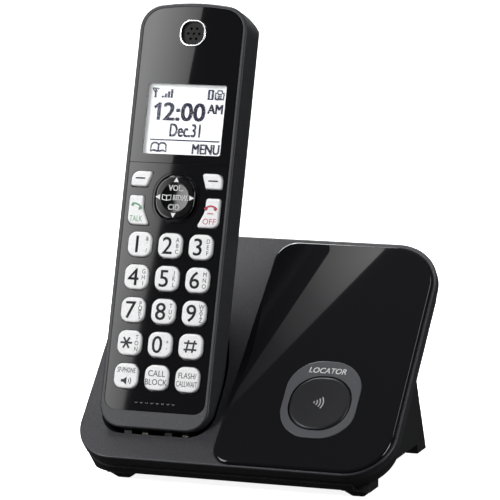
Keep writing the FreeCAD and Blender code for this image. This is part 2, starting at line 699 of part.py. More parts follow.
def handset_inside(wall):
    return handset_envelope(-wall, -wall, -wall, 1.0)


def battery_zone(gap):
    return block(-FAR, FAR, -FAR, COVER_HIGH_U + gap, -FAR, -COVER_SIDE_W)


def handset_screw_places():
    return [(-6.0, 9.0), (6.0, 9.0)]


def handset_frame():
    body = handset_envelope(0.0, 0.0, 0.0, 0.0)
    body = round_rim(body, 0.0, RIM_ROUND)
    body = body.cut(block(-FAR, FAR, -FAR, FAR, -FAR, -FRAME_DEPTH))
    inside = handset_inside(HANDSET_WALL)
    body = body.cut(inside.common(block(-FAR, FAR, -FAR, FAR, -FAR, LEDGE_BACK)))
    body = body.cut(plate(lens_outline(-FIT_GAP, FACE_SEAM_U - 2.0), PANEL_BACK - FIT_GAP, 1.0))
    body = body.cut(plate(keypad_outline(-FIT_GAP, FACE_SEAM_U + 2.0), PANEL_BACK - FIT_GAP, 1.0))
    body = body.cut(plate(lens_outline(LEDGE_WIDTH, FACE_SEAM_U + LEDGE_WIDTH), LEDGE_BACK - 1.0, 1.0))
    body = body.cut(plate(keypad_outline(LEDGE_WIDTH, FACE_SEAM_U - LEDGE_WIDTH), LEDGE_BACK - 1.0, 1.0))
    for x, u in handset_screw_places():
        top = PCB_W - PCB_THICKNESS - 0.2
        body = body.fuse(rod(3.0, x, u, -FRAME_DEPTH, top))
        body = body.fuse(block(x - 0.8, x + 0.8, HANDSET_WALL / 2.0, u, -FRAME_DEPTH, top))
        body = body.cut(rod(1.1, x, u, -FRAME_DEPTH - 1.0, PCB_W - PCB_THICKNESS - 1.2))
    return on_handset(body)


def handset_rear_cover():
    skin = COVER_SKIN + COVER_GAP
    body = handset_envelope(0.0, 0.0, 0.0, 0.0)
    stepped = handset_envelope(-skin, -skin, -skin, 0.0)
    zone = battery_zone(COVER_GAP)
    body = body.cut(zone).fuse(stepped.common(zone))
    low_room = handset_inside(skin + HANDSET_WALL - 0.2)
    low_room = low_room.common(block(-FAR, FAR, -FAR, COVER_HIGH_U + 3.0, -FAR, FAR))
    high_room = handset_inside(HANDSET_WALL)
    high_room = high_room.common(block(-FAR, FAR, COVER_HIGH_U + 2.9, FAR, -FAR, FAR))
    body = body.cut(low_room).cut(high_room)
    body = body.cut(block(-FAR, FAR, -FAR, FAR, -FRAME_DEPTH, FAR))
    box = battery_box(1.2).common(stepped)
    body = body.fuse(box.common(block(-FAR, FAR, -FAR, FAR, -FAR, -FRAME_DEPTH - 0.3)))
    body = body.cut(battery_box(0.0))
    for x, u in handset_screw_places():
        body = body.fuse(rod(3.4, x, u, INNER_BACK, -FRAME_DEPTH).common(stepped))
        body = body.cut(rod(2.3, x, u, -FAR, INNER_BACK + 1.6))
        body = body.cut(rod(1.15, x, u, -FAR, 0.0))
    for x in contact_places():
        body = body.cut(block(x - 2.6, x + 2.6, -1.0, 1.0, -CONTACT_DEPTH - 2.3, -CONTACT_DEPTH + 2.3))
    return on_handset(body.cut(speaker_slots()))


def speaker_slots():
    slots = block(-7, 7, SPEAKER_U - 0.7, SPEAKER_U + 0.7, -FAR, INNER_BACK + 2.0)
    for k in (-2, -1, 1, 2):
        u = SPEAKER_U + 3.2 * k
        half = 7.0 - 1.2 * abs(k)
        slots = slots.fuse(block(-half, half, u - 0.7, u + 0.7, -FAR, INNER_BACK + 2.0))
    return slots


def battery_box(grow):
    half = CELL_DIAMETER + 1.2 + grow
    return block(-half, half, CELL_LOW_U - 2.0 - grow, CELL_LOW_U + CELL_LENGTH + 2.0 + grow, -FAR,
                 -HANDSET_THICKNESS + CELL_DIAMETER + 2.2 + grow)


def battery_cover():
    skin = handset_envelope(0.0, 0.0, 0.0, 0.0).cut(handset_envelope(-COVER_SKIN, -COVER_SKIN, -COVER_SKIN, 1.0))
    patch = skin.common(block(-FAR, FAR, COVER_LOW_U, COVER_HIGH_U, -FAR, -COVER_SIDE_W - 0.25))
    for k in range(4):
        u = COVER_HIGH_U - 10.0 + 1.8 * k
        patch = patch.cut(block(-5, 5, u, u + 0.8, -FAR, -HANDSET_THICKNESS + 0.4))
    return on_handset(patch)


def battery_cells():
    pieces = []
    centre = -HANDSET_THICKNESS + 2.0 + CELL_DIAMETER / 2.0
    for x in (-CELL_DIAMETER / 2.0 - 0.3, CELL_DIAMETER / 2.0 + 0.3):
        cell = Part.makeCylinder(CELL_DIAMETER / 2.0, CELL_LENGTH - 1.0, V(x, CELL_LOW_U, centre), V(0, 1, 0))
        nub = Part.makeCylinder(2.0, 1.0, V(x, CELL_LOW_U + CELL_LENGTH - 1.0, centre), V(0, 1, 0))
        pieces.append(on_handset(cell.fuse(nub)))
    return pieces


def battery_terminals():
    pieces = []
    centre = -HANDSET_THICKNESS + 2.0 + CELL_DIAMETER / 2.0
    for x in (-CELL_DIAMETER / 2.0 - 0.3, CELL_DIAMETER / 2.0 + 0.3):
        flat = block(x - 4, x + 4, CELL_LOW_U + CELL_LENGTH + 1.4, CELL_LOW_U + CELL_LENGTH + 1.8, centre - 4, centre + 4)
        dome = Part.makeCone(2.5, 1.2, 1.2, V(x, CELL_LOW_U + CELL_LENGTH + 1.5, centre), V(0, -1, 0))
        pieces.append(on_handset(flat.fuse(dome)))
        spring = Part.makeCone(3.6, 1.6, 1.6, V(x, CELL_LOW_U - 1.8, centre), V(0, 1, 0))
        pieces.append(on_handset(spring))
    return pieces


# ---------------------------------------------------------------- handset face
def key_outline(column, row, grow):
    x = (column - 1) * KEY_PITCH_X
    u = KEY_ROW_U + row * KEY_PITCH_U
    half = KEY_SIZE / 2.0 + grow
    return rectangle(x - half, u - half, x + half, u + half, KEY_CORNER + grow)


def soft_outline(side, grow):
    inner = SOFT_INNER_X - grow
    outer = SOFT_OUTER_X + grow
    low = SOFT_LOW_U - grow
    high = SOFT_HIGH_U + grow
    points = [(inner + 2.0, low, 0.9), (outer, low, 0.9), (outer, high, 3.0), (inner, high, 0.9)]
    return outline([(side * x, u, r) for x, u, r in points])


def call_outline(side, grow):
    outer = CALL_OUTER_X + grow
    low = CALL_LOW_U - grow
    high = CALL_HIGH_U + grow
    points = [(9.4 - 1.8 * grow, low, 0.8), (outer, low, 2.6), (outer, high, 1.0),
              (12.4 - grow, high, 0.9), (12.2 - grow, low + 6.0, 8.0)]
    return outline([(side * x, u, r) for x, u, r in points])


def nav_outline(grow):
    half_x = NAV_WIDTH / 2.0 + grow
    half_u = NAV_HEIGHT / 2.0 + grow
    return rectangle(-half_x, NAV_U - half_u, half_x, NAV_U + half_u, NAV_CORNER + grow)


KEYPAD = {
    "speaker_key": (0, 0), "block_key": (1, 0), "flash_key": (2, 0),
    "key_star": (0, 1), "key_0": (1, 1), "key_hash": (2, 1),
    "key_7": (0, 2), "key_8": (1, 2), "key_9": (2, 2),
    "key_4": (0, 3), "key_5": (1, 3), "key_6": (2, 3),
    "key_1": (0, 4), "key_2": (1, 4), "key_3": (2, 4),
}


def key_faces(grow):
    """Every sprung key's outline by name, grown by a clearance."""
    faces = {}
    for name, (column, row) in KEYPAD.items():
        faces[name] = key_outline(column, row, grow)
    faces["soft_key_left"] = soft_outline(-1, grow)
    faces["soft_key_right"] = soft_outline(1, grow)
    faces["talk_key"] = call_outline(-1, grow)
    faces["off_key"] = call_outline(1, grow)
    return faces


def key_cap(face, skirt_face):
    under = PANEL_BACK - 0.5
    cap = round_rim(plate(face, under - 0.9, KEY_PROUD), KEY_PROUD, KEY_ROUND)
    limit = FACE_HALF - LEDGE_WIDTH - COVER_GAP
    skirt = plate(skirt_face, under - 0.9, under)
    skirt = skirt.common(block(-limit, limit, -FAR, FAR, -FAR, FAR))
    return on_handset(cap.fuse(skirt))


def nav_key():
    cap = round_rim(plate(nav_outline(0.0), -2.6, KEY_PROUD + 0.2), KEY_PROUD + 0.2, 0.9)
    dish = Part.makeSphere(60.0, V(0, NAV_U, KEY_PROUD + 0.2 + 60.0 - 0.25))
    return on_handset(cap.cut(dish))


def nav_key_pivot():
    post = rod(2.2, 0, NAV_U, -3.8, -2.9)
    return on_handset(post)


def keypad_panel():
    panel = plate(keypad_outline(0.0, FACE_SEAM_U - SEAM_GAP / 2), PANEL_BACK, -PANEL_SINK)
    for face in key_faces(KEY_GAP).values():
        panel = panel.cut(plate(face, -5.0, 5.0))
    panel = panel.cut(plate(nav_outline(NAV_GAP), -5.0, 5.0))
    groove = plate(nav_outline(1.45), -PANEL_SINK - 0.3, 1.0).cut(plate(nav_outline(1.05), -5.0, 5.0))
    panel = panel.cut(groove)
    for k in range(MIC_COUNT):
        x = (k - (MIC_COUNT - 1) / 2.0) * MIC_PITCH
        panel = panel.cut(rod(0.4, x, MIC_U, -5.0, 5.0))
    return on_handset(panel)


def display_face(grow):
    half = DISPLAY_WIDTH / 2.0 + grow
    return rectangle(-half, DISPLAY_LOW_U - grow, half, DISPLAY_HIGH_U + grow, 0.9)


def ear_face(grow):
    half = EAR_SIZE / 2.0 + grow
    return rectangle(-half, EAR_U - half, half, EAR_U + half, EAR_SIZE * 0.42 + grow)


def lens_panel():
    panel = plate(lens_outline(0.0, FACE_SEAM_U + SEAM_GAP / 2), PANEL_BACK, -PANEL_SINK)
    panel = panel.cut(plate(display_face(0.0), -5.0, 5.0))
    return on_handset(panel.cut(plate(ear_face(0.05), -5.0, 5.0)))


def display_window():
    return on_handset(plate(display_face(-0.05), PANEL_BACK + 0.2, -PANEL_SINK - 0.1))


def earpiece_ring():
    ring = round_rim(plate(ear_face(0.0), PANEL_BACK, 0.1), 0.1, 0.3)
    return on_handset(ring.cut(plate(ear_face(-EAR_RING), -5.0, 5.0)))


def earpiece_grille():
    mesh = plate(ear_face(-EAR_RING - 0.05), PANEL_BACK + 0.1, PANEL_BACK + 0.5)
    for k in range(6):
        angle = math.radians(60 * k)
        mesh = mesh.cut(rod(0.5, 2.2 * math.cos(angle), EAR_U + 2.2 * math.sin(angle), -5.0, 5.0))
    return on_handset(mesh.cut(rod(0.5, 0, EAR_U, -5.0, 5.0)))


def receiver():
    capsule = rod(6.0, 0, EAR_U, PCB_W + 0.2, PANEL_BACK - 1.0)
    return on_handset(capsule.fuse(rod(4.0, 0, EAR_U, PCB_W + 0.2, PANEL_BACK - 0.6)))


def display_module():
    half = DISPLAY_WIDTH / 2.0 + 1.4
    low = FACE_SEAM_U + 2.1
    return on_handset(plate(rectangle(-half, low, half, DISPLAY_HIGH_U + 3.5, 0.5), PANEL_BACK - 1.8, PANEL_BACK - 0.3))


def display_holder():
    half = DISPLAY_WIDTH / 2.0 + 1.4
    low = FACE_SEAM_U + 2.1
    high = DISPLAY_HIGH_U + 3.5
    tray = block(-half - 1, half + 1, low - 0.3, high + 1.2, PCB_W + 0.1, PANEL_BACK - 0.4)
    seat = block(-half - 0.05, half + 0.05, low - 0.05, high + 0.05, PANEL_BACK - 1.85, 0)
    return on_handset(tray.cut(seat))


def handset_circuit_board():
    half = HANDSET_WIDTH / 2.0 - HANDSET_WALL - 0.9
    high = HANDSET_LENGTH - 10.0
    board = plate(rectangle(-half, 8.0, half, high, 3.0), PCB_W - PCB_THICKNESS, PCB_W)
    chip = block(-12, -2, 66, 76, PCB_W - PCB_THICKNESS - 1.0, PCB_W - PCB_THICKNESS)
    return on_handset(board.fuse(chip))


def key_mat():
    half = FACE_HALF - LEDGE_WIDTH - 1.1
    mat = plate(rectangle(-half, 12.6, half, FACE_SEAM_U - 2.4, 2.0), PCB_W + 0.4, PCB_W + 1.0)
    return on_handset(mat)


def dome_sheet():
    half = FACE_HALF - LEDGE_WIDTH - 1.6
    sheet = plate(rectangle(-half, 13.0, half, FACE_SEAM_U - 2.8, 2.0), PCB_W + 0.1, PCB_W + 0.3)
    return on_handset(sheet)


def microphone():
    return on_handset(rod(2.0, 0, MIC_U, PCB_W + 0.1, PANEL_BACK - 0.4))


def loudspeaker():
    basket = rod(9.5, 0, SPEAKER_U, INNER_BACK + 1.0, INNER_BACK + 4.0)
    return on_handset(basket.fuse(rod(6.0, 0, SPEAKER_U, INNER_BACK + 3.9, INNER_BACK + 6.6)))


def handset_shield_can():
    top = PCB_W - PCB_THICKNESS
    can = block(-14, 14, 84, 116, top - 2.8, top)
    return on_handset(can.cut(block(-13.6, 13.6, 84.4, 115.6, top - 2.4, top + 1.0)))


def handset_antenna():
    back = PCB_W - PCB_THICKNESS
    high = HANDSET_LENGTH - 11.0
    foot = block(-13, 13, high - 0.4, high, back - 4.0, back)
    arm = block(-13, 13, high - 7.0, high, back - 4.4, back - 4.0)
    return on_handset(foot.fuse(arm))


def handset_charge_contacts():
    pieces = []
    for x in contact_places():
        pad = block(x - 2.5, x + 2.5, 0.1, 0.9, -CONTACT_DEPTH - 2.2, -CONTACT_DEPTH + 2.2)
        pieces.append(on_handset(pad))
    return pieces


def handset_screws():
    pieces = []
    for x, u in handset_screw_places():
        head = rod(2.1, x, u, INNER_BACK + 0.4, INNER_BACK + 1.6)
        shank = rod(1.0, x, u, INNER_BACK + 1.0, PCB_W - PCB_THICKNESS - 2.0)
        slot = block(x - 1.2, x + 1.2, u - 0.3, u + 0.3, INNER_BACK, INNER_BACK + 0.9)
        slot = slot.fuse(block(x - 0.3, x + 0.3, u - 1.2, u + 1.2, INNER_BACK, INNER_BACK + 0.9))
        pieces.append(on_handset(head.fuse(shank).cut(slot)))
    return pieces


# ---------------------------------------------------------------- build
SINGLES = [
    base_front_cover, base_rear_cover, gloss_panel, locator_surround, locator_key, locator_switch,
    base_circuit_board, base_shield_can, jack_board, power_jack, line_jack, desk_stand,
    handset_frame, handset_rear_cover, battery_cover, lens_panel, display_window, keypad_panel,
    earpiece_ring, earpiece_grille, receiver, display_module, display_holder,
    handset_circuit_board, key_mat, dome_sheet, microphone, loudspeaker, handset_shield_can,
    handset_antenna, nav_key, nav_key_pivot,
]
GROUPS = [
    base_charge_contacts, base_antennas, base_screws, front_feet, stand_feet, battery_cells,
    battery_terminals, handset_charge_contacts, handset_screws,
]


def build():
    os.makedirs("parts", exist_ok=True)
    for make in SINGLES:
        save(make.__name__, make())
    for make in GROUPS:
        save_group(make.__name__, make())
    caps = key_faces(0.0)
    skirts = key_faces(KEY_SKIRT)
    for name in caps:
        save(name, key_cap(caps[name], skirts[name]))


build()
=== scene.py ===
import json
import math
import bmesh
import bpy
from mathutils import Matrix, Vector


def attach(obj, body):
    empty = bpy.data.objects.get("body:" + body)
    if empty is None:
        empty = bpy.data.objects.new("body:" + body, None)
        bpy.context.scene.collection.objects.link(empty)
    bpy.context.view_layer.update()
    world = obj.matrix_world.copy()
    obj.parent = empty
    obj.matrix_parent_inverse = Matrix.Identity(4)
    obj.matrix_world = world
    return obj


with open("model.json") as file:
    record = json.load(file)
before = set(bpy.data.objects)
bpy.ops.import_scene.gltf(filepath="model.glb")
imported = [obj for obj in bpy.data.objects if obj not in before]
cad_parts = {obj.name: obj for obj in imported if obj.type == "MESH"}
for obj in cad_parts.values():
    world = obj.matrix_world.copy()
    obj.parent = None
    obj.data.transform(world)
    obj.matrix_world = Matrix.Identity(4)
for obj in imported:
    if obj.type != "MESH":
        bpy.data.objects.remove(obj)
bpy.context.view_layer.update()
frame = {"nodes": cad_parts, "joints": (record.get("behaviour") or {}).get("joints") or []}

# ================================================================ camera and studio
# A long portrait lens about a metre off, a little to the right of the keypad and just above the
# table, so the upright edges stay nearly parallel. The set is a pale sweep under soft boxes.
MM = 0.001
CAMERA_AZIMUTH = math.radians(19.548)
CAMERA_ELEVATION = math.radians(8.622)
CAMERA_DISTANCE = 1095.4 * MM
CAMERA_TARGET = Vector((-3.612, -14.144, 84.349)) * MM
LENS_MM = 213.2

back = Vector((math.sin(CAMERA_AZIMUTH) * math.cos(CAMERA_ELEVATION),
               -math.cos(CAMERA_AZIMUTH) * math.cos(CAMERA_ELEVATION),
               math.sin(CAMERA_ELEVATION)))
camera = bpy.data.objects.new("camera", bpy.data.cameras.new("camera"))
bpy.context.collection.objects.link(camera)
camera.location = CAMERA_TARGET + back * CAMERA_DISTANCE
camera.rotation_euler = (math.pi / 2 - CAMERA_ELEVATION, 0.0, CAMERA_AZIMUTH)
camera.data.lens = LENS_MM
camera.data.sensor_width = 36.0
camera.data.clip_start = 0.05
bpy.context.scene.camera = camera
bpy.context.scene.view_settings.view_transform = "Standard"


def linear(code):
    """sRGB hex colour to the linear values that shaders use."""
    values = [int(code[i:i + 2], 16) / 255 for i in (1, 3, 5)]
    curve = [c / 12.92 if c <= 0.04045 else ((c + 0.055) / 1.055) ** 2.4 for c in values]
    return (*curve, 1.0)


def new_material(name):
    """An empty node material."""
    made = bpy.data.materials.new(name)
    made.use_nodes = True
    made.node_tree.nodes.clear()
    return made


def add(tree, kind, inputs=None, **settings):
    """One node, with its settings, and its inputs as constants or as links from other sockets."""
    node = tree.nodes.new(kind)
    for key, value in settings.items():
        setattr(node, key, value)
    for key, value in (inputs or {}).items():
        if isinstance(value, bpy.types.NodeSocket):
            tree.links.new(value, node.inputs[key])
        else:
            node.inputs[key].default_value = value
    return node


def mesh_object(name, vertices, faces, smooth=True):
    """A mesh object from points in metres, with its normals made to agree."""
    mesh = bpy.data.meshes.new(name)
    mesh.from_pydata(vertices, [], faces)
    sheet = bmesh.new()
    sheet.from_mesh(mesh)
    bmesh.ops.recalc_face_normals(sheet, faces=sheet.faces)
    sheet.to_mesh(mesh)
    sheet.free()
    for polygon in mesh.polygons:
        polygon.use_smooth = smooth
    made = bpy.data.objects.new(name, mesh)
    bpy.context.collection.objects.link(made)
    return made


# Painted board, matt white: a flat floor that turns up into a wall behind the object, in metres.
# It is lit from within as well, so it stays even and white all round.
SWEEP_HALF = 4.0
SWEEP_FRONT = -3.0
SWEEP_REAR = 2.2
SWEEP_BEND = 1.2
SWEEP_TOP = 3.5
BEND_STEPS = 16
profile = [(SWEEP_FRONT, 0.0), (SWEEP_REAR, 0.0)]
for i in range(1, BEND_STEPS + 1):
    turn = math.radians(90 * i / BEND_STEPS)
    profile.append((SWEEP_REAR + SWEEP_BEND * math.sin(turn), SWEEP_BEND * (1 - math.cos(turn))))
profile.append((SWEEP_REAR + SWEEP_BEND, SWEEP_TOP))
points = [(x, y, z) for x in (-SWEEP_HALF, SWEEP_HALF) for y, z in profile]
count = len(profile)
strips = [(i, i + 1, i + 1 + count, i + count) for i in range(count - 1)]
sweep = mesh_object("floor", points, strips)
board = new_material("painted_board")
grain = add(board.node_tree, "ShaderNodeTexNoise", {"Scale": 40.0, "Detail": 3.0})
tone = add(board.node_tree, "ShaderNodeValToRGB", {"Fac": grain.outputs["Fac"]})
tone.color_ramp.elements[0].color = linear("#f4f4f4")
tone.color_ramp.elements[1].color = linear("#fbfbfb")
paint = add(board.node_tree, "ShaderNodeBsdfPrincipled",
            {"Base Color": tone.outputs["Color"], "Roughness": 0.9, "Specular IOR Level": 0.0,
             "Emission Color": linear("#ffffff"), "Emission Strength": 0.9})
add(board.node_tree, "ShaderNodeOutputMaterial", {"Surface": paint.outputs["BSDF"]})
sweep.data.materials.append(board)
sweep.visible_glossy = False
sweep.visible_diffuse = False

world = bpy.data.worlds.new("studio")
world.use_nodes = True
world.node_tree.nodes["Background"].inputs["Color"].default_value = linear("#ffffff")
world.node_tree.nodes["Background"].inputs["Strength"].default_value = 0.03
bpy.context.scene.world = world


def soft_box(name, place, aim, width, height, power, glossy):
    """A rectangular soft box at place, turned to aim, both in metres."""
    lamp = bpy.data.lights.new(name, "AREA")
    lamp.shape = "RECTANGLE"
    lamp.size = width
    lamp.size_y = height
    lamp.energy = power
    box = bpy.data.objects.new(name, lamp)
    bpy.context.collection.objects.link(box)
    box.location = place
    box.rotation_euler = (Vector(aim) - Vector(place)).to_track_quat("-Z", "Y").to_euler()
    box.visible_camera = False
    box.visible_glossy = glossy


# Each has a place, an aim, a width, a height, watts, and whether a reflection shows it. The ones
# that show give the grained plastics their sheen; the rest only fill.
soft_box("top_box", (-0.15, 0.25, 1.1), (0, 0, 0.05), 0.7, 0.5, 5.0, False)
soft_box("left_box", (-0.75, -0.75, 0.75), (-0.03, -0.02, 0.1), 0.35, 0.8, 16.0, False)
soft_box("slab_box", (-0.25, 0.2, 0.55), (0.0, 0.02, 0.08), 0.3, 0.16, 3.0, True)
soft_box("edge_box", (0.46, -0.06, 0.8), (0.03, 0.0, 0.07), 0.12, 0.5, 0.5, True)
soft_box("right_box", (0.95, -0.28, 0.3), (0.0, 0.0, 0.1), 0.12, 0.7, 3.4, True)
soft_box("rear_box", (-0.2, 1.1, 0.42), (0.0, 0.0, 0.1), 1.6, 0.25, 0.9, True)
for side, x in (("left", -1.6), ("right", 1.6)):
    soft_box("wall_box_" + side, (x, 0.9, 1.4), (0, 3.2, 0.6), 1.2, 1.2, 30.0, False)


def card(name, place, outline, gradient, stops, strength):
    """A lit card seen only in reflections; stops are places along its gradient, with levels."""
    made = mesh_object(name, [(x, y, 0.0) for x, y in outline], [tuple(range(len(outline)))], False)
    made.matrix_world = place
    glow = new_material(name + "_light")
    where = add(glow.node_tree, "ShaderNodeTexCoord").outputs["Object"]
    fall = add(glow.node_tree, "ShaderNodeTexGradient", {"Vector": where}, gradient_type=gradient)
    ramp = add(glow.node_tree, "ShaderNodeValToRGB", {"Fac": fall.outputs["Fac"]})
    for spot, _ in stops[1:-1]:
        ramp.color_ramp.elements.new(spot)
    for element, (spot, level) in zip(ramp.color_ramp.elements, stops):
        element.position = spot
        element.color = (level, level, level, 1.0)
    light = add(glow.node_tree, "ShaderNodeEmission",
                {"Color": ramp.outputs["Color"], "Strength": strength})
    add(glow.node_tree, "ShaderNodeOutputMaterial", {"Surface": light.outputs["Emission"]})
    made.data.materials.append(glow)
    made.visible_camera = False
    made.visible_diffuse = False
    made.visible_shadow = False


def card_frame(origin, toward_x, toward_y, unit):
    """Local frame for a card: X towards one point, Y square to it on the side of another."""
    x = (Vector(toward_x) - Vector(origin)).normalized()
    y = Vector(toward_y) - Vector(origin)
    y = (y - x * y.dot(x)).normalized()
    turn = Matrix((x, y, x.cross(y))).transposed().to_4x4()
    return Matrix.Translation(origin) @ turn @ Matrix.Scale(unit, 4)


# The tall card gives the handset its bright left side; the overhead card gives the gloss
# panel of the base its bright wedge.
tall = card_frame((-0.301, -0.644, 0.291), (-0.270, -0.557, 0.497), (-0.35, -0.60, 0.38), 0.36)
card("tall_card", tall @ Matrix.Rotation(math.pi / 2, 4, "Z") @ Matrix.Scale(-1, 4, (0, 1, 0)),
     [(0, -0.9), (1, -0.9), (1, 0.95), (0, 0.95)], "LINEAR",
     [(0.0, 0.24), (0.08, 0.6), (0.3, 0.75), (1.0, 1.0)], 7.2)
over = card_frame((-0.153, -0.092, 0.700), (-0.199, -0.140, 0.700), (-0.216, -0.090, 0.700), 0.15)
card("overhead_card", over, [(-1.6, 0), (1.4, 0), (1.4, 1.4), (-1.6, 1.4)], "SPHERICAL",
     [(0.0, 0.05), (0.4, 0.12), (0.65, 0.32), (1.0, 1.0)], 2.1)

# ================================================================ rear cover of the base
# Black ABS, injection moulded in a spark-eroded tool, so it has a fine even grain and no gloss.
# It is a tray with a pod behind it, with screw holes and two keyhole slots; four screws hold it.


def dress(names, material):
    """Gives one material to CAD pieces, in every slot that they have."""
    for name in names:
        node = frame["nodes"][name]
        if not node.material_slots:
            node.data.materials.append(material)
        for place in node.material_slots:
            place.material = material


SHEEN_PATCH = 28.0


def moulded(name, dark, light, roughness, grain_mm, depth_mm):
    """Grained plastic: a fine speckle in colour and relief over slow changes in sheen."""
    made = new_material(name)
    tree = made.node_tree
    place = add(tree, "ShaderNodeTexCoord").outputs["Object"]
    fine = add(tree, "ShaderNodeTexNoise", {"Vector": place, "Scale": 1.0 / (grain_mm * MM), "Detail": 4.0,
                                            "Roughness": 0.6})
    slow = add(tree, "ShaderNodeTexNoise", {"Vector": place, "Scale": 1.0 / (SHEEN_PATCH * MM),
                                            "Detail": 2.0})
    tint = add(tree, "ShaderNodeValToRGB", {"Fac": fine.outputs["Fac"]})
    tint.color_ramp.elements[0].position = 0.3
    tint.color_ramp.elements[0].color = linear(dark)
    tint.color_ramp.elements[1].position = 0.7
    tint.color_ramp.elements[1].color = linear(light)
    sheen = add(tree, "ShaderNodeMapRange", {"Value": slow.outputs["Fac"], "To Min": roughness - 0.05,
                                             "To Max": roughness + 0.05})
    relief = add(tree, "ShaderNodeBump", {"Height": fine.outputs["Fac"], "Strength": 0.6,
                                          "Distance": depth_mm * MM})
    skin = add(tree, "ShaderNodeBsdfPrincipled", {"Base Color": tint.outputs["Color"], "IOR": 1.54,
                                                  "Roughness": sheen.outputs["Result"],
                                                  "Normal": relief.outputs["Normal"]})
    add(tree, "ShaderNodeOutputMaterial", {"Surface": skin.outputs["BSDF"]})
    return made


# Black ABS with a grain of 0.4 mm, drawn coarser than the real one so that it shows. It breaks up
# the light into a soft grey sheen.
abs_housing = moulded("black_abs_grained", "#151517", "#2c2c30", 0.5, 0.4, 0.04)
dress(["base_rear_cover"], abs_housing)

# ================================================================ front cover of the base
# The same ABS in charcoal, with the cradle well moulded in. Its rim is rounded, so light runs
# along the edge, and the well is deep and falls into shade.

# It is paler and a little shinier than the rear cover.
abs_front = moulded("charcoal_abs_grained", "#1c1c1f", "#3e3e43", 0.4, 0.45, 0.05)
dress(["base_front_cover"], abs_front)

# ================================================================ gloss panel of the base
# Piano-black ABS pressed into a recess of the front cover. Its edge is rolled, and its left side
# falls away towards the cradle in a long slender scoop.
RIPPLE_LENGTH = 22.0
SMEAR_WIDTH = 6.0


def gloss(name, colour, roughness, ripple):
    """Polished plastic under a clear coat, with the faint ripple of a moulded surface."""
    made = new_material(name)
    tree = made.node_tree
    place = add(tree, "ShaderNodeTexCoord").outputs["Object"]
    slow = add(tree, "ShaderNodeTexNoise", {"Vector": place, "Scale": 1.0 / (RIPPLE_LENGTH * MM),
                                            "Detail": 1.0})
    smear = add(tree, "ShaderNodeTexNoise", {"Vector": place, "Scale": 1.0 / (SMEAR_WIDTH * MM),
                                             "Detail": 5.0})
    haze = add(tree, "ShaderNodeMapRange", {"Value": smear.outputs["Fac"], "To Min": roughness,
                                            "To Max": roughness * 2})
    wave = add(tree, "ShaderNodeBump", {"Height": slow.outputs["Fac"], "Strength": 0.25,
                                        "Distance": ripple * MM})
    skin = add(tree, "ShaderNodeBsdfPrincipled", {"Base Color": linear(colour), "IOR": 1.5,
                                                  "Roughness": haze.outputs["Result"], "Coat Weight": 0.3,
                                                  "Coat Roughness": 0.03, "Normal": wave.outputs["Normal"]})
    add(tree, "ShaderNodeOutputMaterial", {"Surface": skin.outputs["BSDF"]})
    return made


# Polished black ABS: near a mirror, so it shows the cards and the handset as hard shapes.
piano_black = gloss("piano_black_abs", "#141417", 0.008, 0.004)
dress(["gloss_panel"], piano_black)

# ================================================================ locator key and its surround
# A satin charcoal key in a grey moulded surround. The surround is a plate set into the gloss panel
# and printed with the word LOCATOR; the key is printed with a small mark of sound waves.

# Grey ABS, satin: its even mid grey outlines the key.
grey_trim = moulded("grey_abs_satin", "#3d3e41", "#4b4c50", 0.36, 0.3, 0.01)
dress(["locator_surround"], grey_trim)
# Charcoal ABS, satin: dark, with a broad dull highlight over its rounded rim.
satin_cap = moulded("charcoal_abs_satin", "#141417", "#1b1b1f", 0.38, 0.25, 0.006)
dress(["locator_key"], satin_cap)

# Two local frames in millimetres, found from the joints. The handset's has X across, U up its
# length and W out of its face, with the navigation key's rocking axis at NAV_U and NAV_AXIS_W. The
# slab's has X across, V uphill and N out of its face, with its origin HANDSET_SEAT_V downhill of
# the handset's and HANDSET_PROUD behind it.
lift = next(j for j in frame["joints"] if j["name"] == "handset_lift")
rock = next(j for j in frame["joints"] if j["name"] == "nav_tilt_up_down")
press = next(j for j in frame["joints"] if j["name"] == "locator_press")
release = next(j for j in frame["joints"] if j["name"] == "stand_release")

NAV_U = 86.4
NAV_AXIS_W = -3.2
HANDSET_SEAT_V = 10.44
HANDSET_PROUD = 2.0


def axes(x, y, z, origin):
    """Matrix of a local frame whose coordinates are in millimetres."""
    turn = Matrix((x, y, z)).transposed().to_4x4()
    return Matrix.Translation(origin) @ turn @ Matrix.Scale(MM, 4)


along = Vector(lift["axis"]).normalized()
outward = Vector((1, 0, 0)).cross(along)
seat = Vector(rock["pos_m"]) - along * NAV_U * MM - outward * NAV_AXIS_W * MM
HANDSET = axes(Vector((1, 0, 0)), along, outward, seat)

uphill = -Vector(release["axis"]).normalized()
proud = -Vector(press["axis"]).normalized()
corner = seat - uphill * HANDSET_SEAT_V * MM - proud * HANDSET_PROUD * MM
corner.x = 0.0
SLAB = axes(Vector((1, 0, 0)), uphill, proud, corner)


INK_SPECKLE = 0.4
INK_FILM = 0.03


def ink(name, dark, light):
    """Pad-printed ink: matt, slightly uneven in density."""
    made = new_material(name)
    tree = made.node_tree
    place = add(tree, "ShaderNodeTexCoord").outputs["Object"]
    film = add(tree, "ShaderNodeTexNoise", {"Vector": place, "Scale": 1.0 / (INK_SPECKLE * MM),
                                            "Detail": 2.0})
    tone = add(tree, "ShaderNodeValToRGB", {"Fac": film.outputs["Fac"]})
    tone.color_ramp.elements[0].color = linear(dark)
    tone.color_ramp.elements[1].color = linear(light)
    skin = add(tree, "ShaderNodeBsdfPrincipled", {"Base Color": tone.outputs["Color"], "Roughness": 0.55,
                                                  "IOR": 1.5})
    add(tree, "ShaderNodeOutputMaterial", {"Surface": skin.outputs["BSDF"]})
    return made


